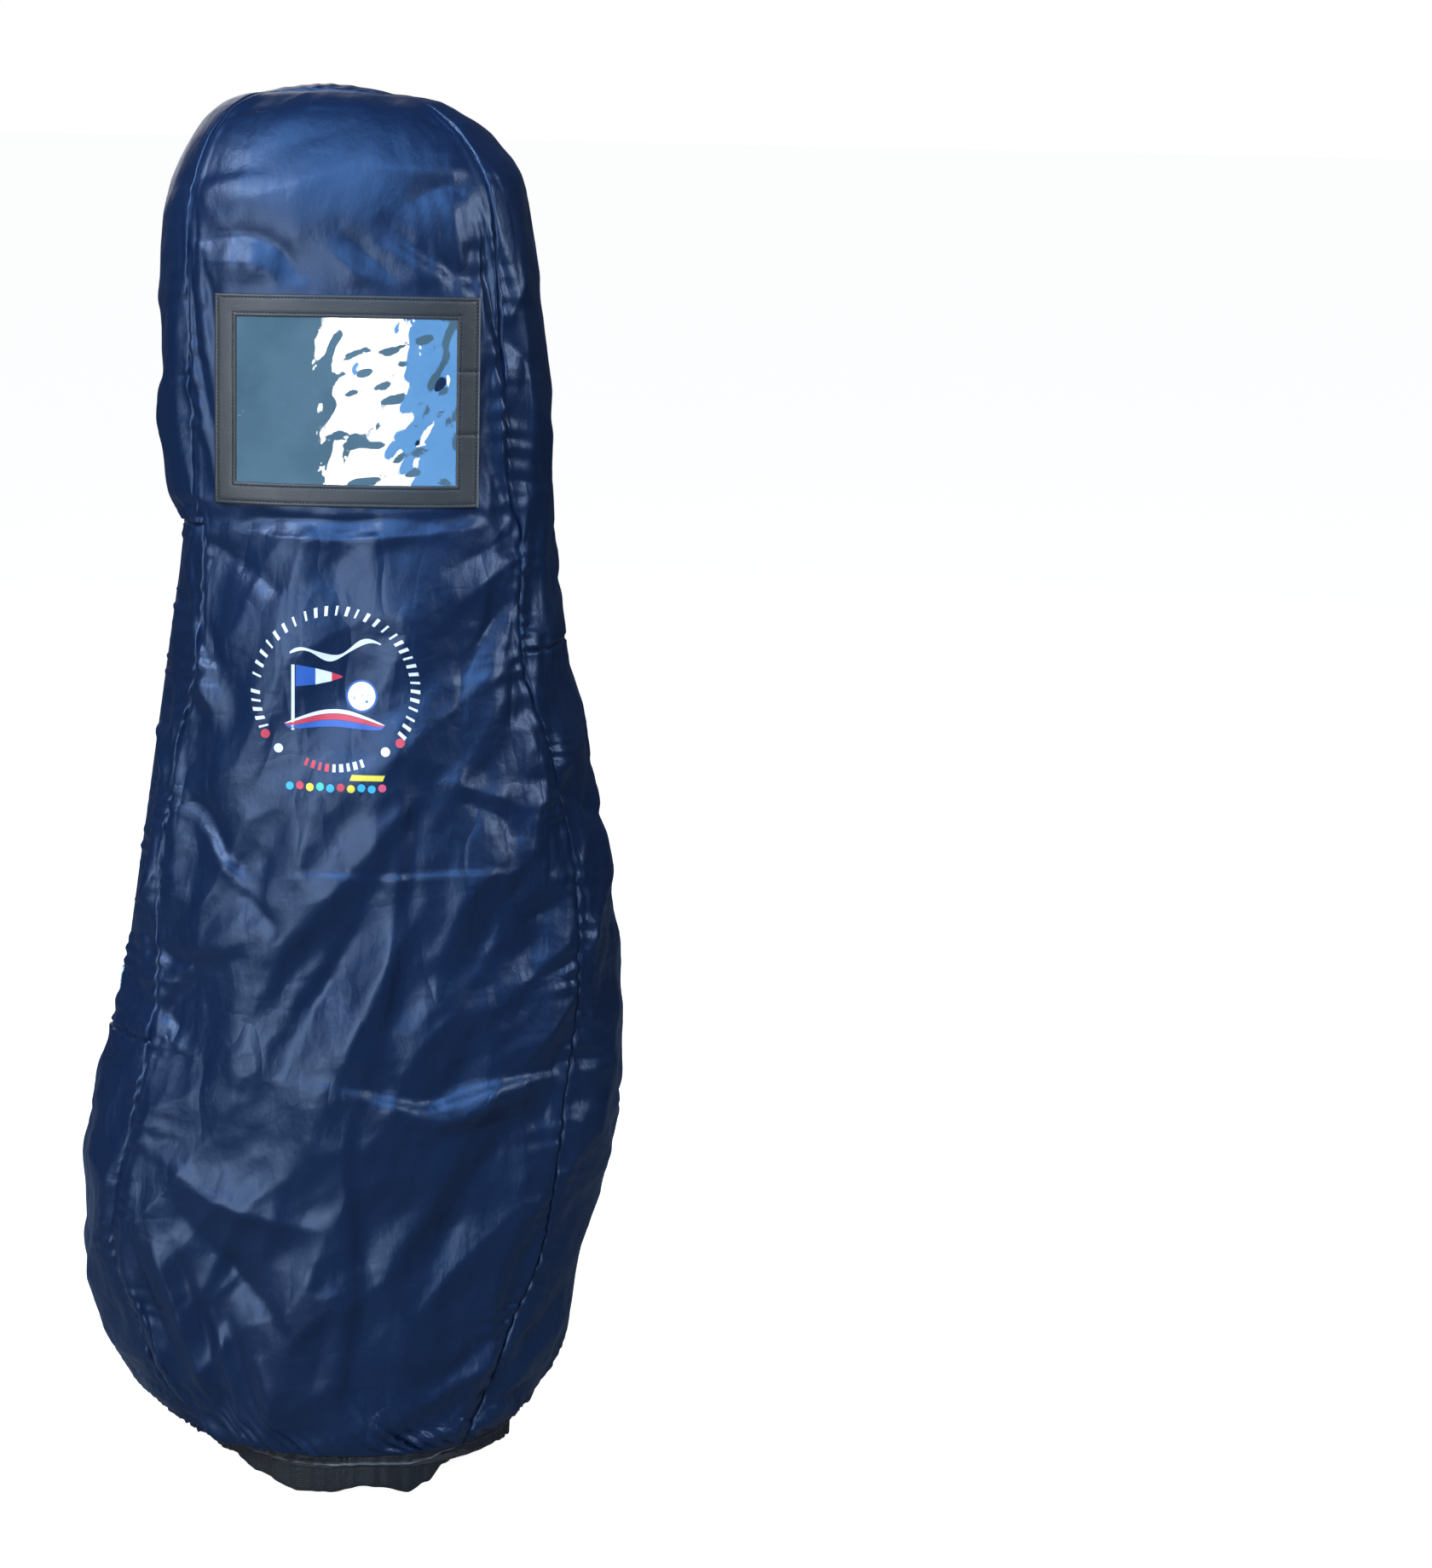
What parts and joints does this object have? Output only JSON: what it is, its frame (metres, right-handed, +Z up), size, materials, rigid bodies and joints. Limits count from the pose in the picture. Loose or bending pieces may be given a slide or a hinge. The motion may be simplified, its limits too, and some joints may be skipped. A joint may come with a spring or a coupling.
{
  "type": "golf bag travel cover",
  "caption": "Tall fabric travel cover for a golf bag, with side gussets, a two-slider side zip, a clear card window and an elastic hem, shaped as worn over the bag.",
  "frame": {"origin": "centre of the hem opening, in the plane of the hem's lower edge", "axes": "+Z up, towards the rounded crown; -Y is the front panel with the window; -X is the gusset with the zip"},
  "size_m": [0.4682, 0.282, 1.196],
  "materials": {
    "navy_nylon": "satin",
    "hem_webbing": "matte",
    "elastic": "matte",
    "leatherette": "satin",
    "clear_pvc": "gloss",
    "hook_and_loop": "matte",
    "print_ink": "matte",
    "zip_tape": "matte",
    "zip_nylon": "satin",
    "zip_slider": "satin",
    "zip_pull": "satin"
  },
  "bodies": {
    "cover": {"front_panel": "navy_nylon", "back_panel": "navy_nylon", "top_gusset": "navy_nylon", "left_gusset_upper": "navy_nylon", "left_gusset_zip_front": "navy_nylon", "left_gusset_zip_back": "navy_nylon", "left_gusset_lower": "navy_nylon", "right_gusset_upper": "navy_nylon", "right_gusset_lower": "navy_nylon", "zip_flap_front": "navy_nylon", "zip_flap_back": "navy_nylon", "hem_band": "hem_webbing", "hem_elastic": "elastic", "window_frame": "leatherette", "window_sheet": "clear_pvc", "pocket_hook_patch": "hook_and_loop", "pocket_loop_patch": "hook_and_loop", "printed_emblem": "print_ink", "zip_tape_front": "zip_tape", "zip_tape_back": "zip_tape", "zip_coil_front": "zip_nylon", "zip_coil_back": "zip_nylon", "zip_top_stop": "zip_nylon", "zip_bottom_stop": "zip_nylon"},
    "slider_upper": {"zip_slider_upper": "zip_slider"},
    "slider_lower": {"zip_slider_lower": "zip_slider"},
    "pull_upper": {"zip_pull_upper": "zip_pull"},
    "pull_lower": {"zip_pull_lower": "zip_pull"}
  },
  "joints": [
    {"name": "upper_slider_travel", "type": "slide", "parent": "cover", "child": "slider_upper", "axis": [0.1345, 0, 0.9909], "range_m": [0, 0.386]},
    {"name": "lower_slider_travel", "type": "slide", "parent": "cover", "child": "slider_lower", "axis": [0.1345, 0, 0.9909], "range_m": [-0.006, 0]},
    {"name": "upper_pull_swing", "type": "hinge", "parent": "slider_upper", "child": "pull_upper", "pos_m": [-0.20846, 0, 0.43073], "axis": [0, 1, 0], "range_deg": [0, 160]},
    {"name": "lower_pull_swing", "type": "hinge", "parent": "slider_lower", "child": "pull_lower", "pos_m": [-0.21061, 0, 0.41488], "axis": [0, 1, 0], "range_deg": [0, 100]}
  ]
}
